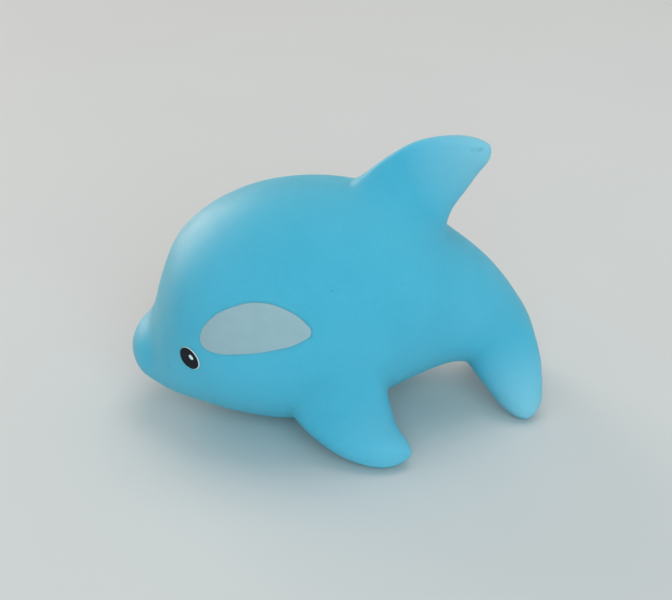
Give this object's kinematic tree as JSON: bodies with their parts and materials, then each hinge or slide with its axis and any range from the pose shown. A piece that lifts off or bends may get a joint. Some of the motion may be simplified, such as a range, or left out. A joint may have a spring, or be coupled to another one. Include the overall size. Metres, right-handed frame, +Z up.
{
  "type": "squeaky bath toy",
  "caption": "Hollow soft-vinyl whale calf for the bath, with painted cheeks and eyes, resting on belly, flippers and flukes, and a reed squeaker plugged into its belly.",
  "frame": {"origin": "on the ground under the middle of the overall box", "axes": "+Z up, +X towards the tail, so the nose points to -X and the animal's left side is at -Y"},
  "size_m": [0.0824, 0.0596, 0.0558],
  "materials": {
    "vinyl": "soft matte vinyl, slightly translucent",
    "squeaker_plastic": "natural moulded plastic",
    "block_plastic": "hard moulded plastic",
    "reed_film": "clear stiff film",
    "patch_paint": "matte sprayed paint",
    "white_paint": "matte printed paint",
    "black_paint": "satin printed paint"
  },
  "bodies": {
    "toy": {"body_skin": "vinyl", "squeaker_housing": "squeaker_plastic", "reed_block": "block_plastic", "reed_wedge": "block_plastic", "cheek_patch_left": "patch_paint", "cheek_patch_right": "patch_paint", "eye_white_left": "white_paint", "eye_white_right": "white_paint", "eye_black_left": "black_paint", "eye_black_right": "black_paint", "eye_glint_left": "white_paint", "eye_glint_right": "white_paint"},
    "reed": {"reed": "reed_film"}
  },
  "joints": [
    {"name": "reed_flex", "type": "hinge", "parent": "toy", "child": "reed", "pos_m": [0, 0, 0.00757], "axis": [0, 1, 0], "range_deg": [-4, 2], "stiffness_Nm_per_rad": 0.0001}
  ]
}
